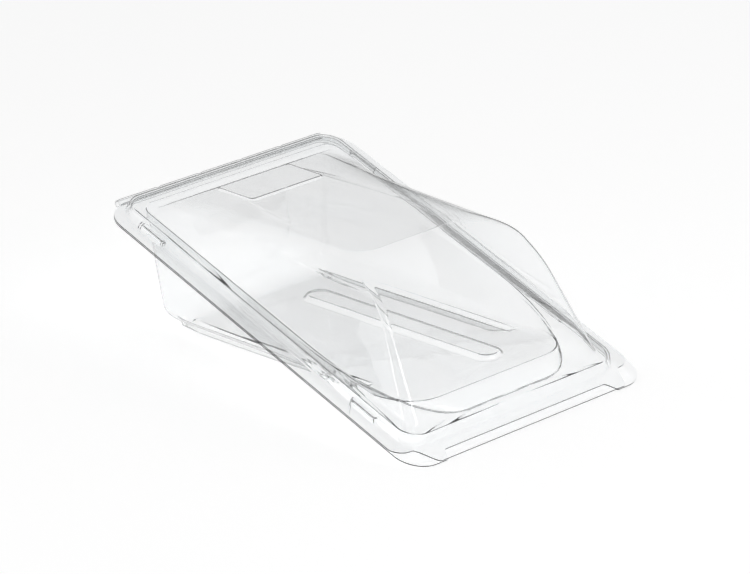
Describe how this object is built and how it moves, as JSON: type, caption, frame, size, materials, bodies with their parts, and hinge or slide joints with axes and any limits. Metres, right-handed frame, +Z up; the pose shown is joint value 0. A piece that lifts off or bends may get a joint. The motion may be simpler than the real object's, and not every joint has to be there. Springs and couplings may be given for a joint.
{
  "type": "plastic clamshell pack",
  "caption": "Clear hinged clamshell pack with a slanting rim: wedge-shaped tray below, domed lid above, snap bead, back hinge roll and front finger tabs.",
  "frame": {"origin": "centre of the pack's outline on the table, under the middle of the bounding box", "axes": "+Z up, +X to the right seen from the front, hinge at +Y, finger tabs at -Y"},
  "size_m": [0.13, 0.1878, 0.0591],
  "materials": {
    "clear_film": "glossy clear film"
  },
  "bodies": {
    "base": {"base_tray": "clear_film"},
    "lid": {"lid": "clear_film"}
  },
  "joints": [
    {"name": "lid_hinge", "type": "hinge", "parent": "base", "child": "lid", "pos_m": [0, 0.09385, 0.05258], "axis": [-1, 0, 0], "range_deg": [0, 180]}
  ]
}
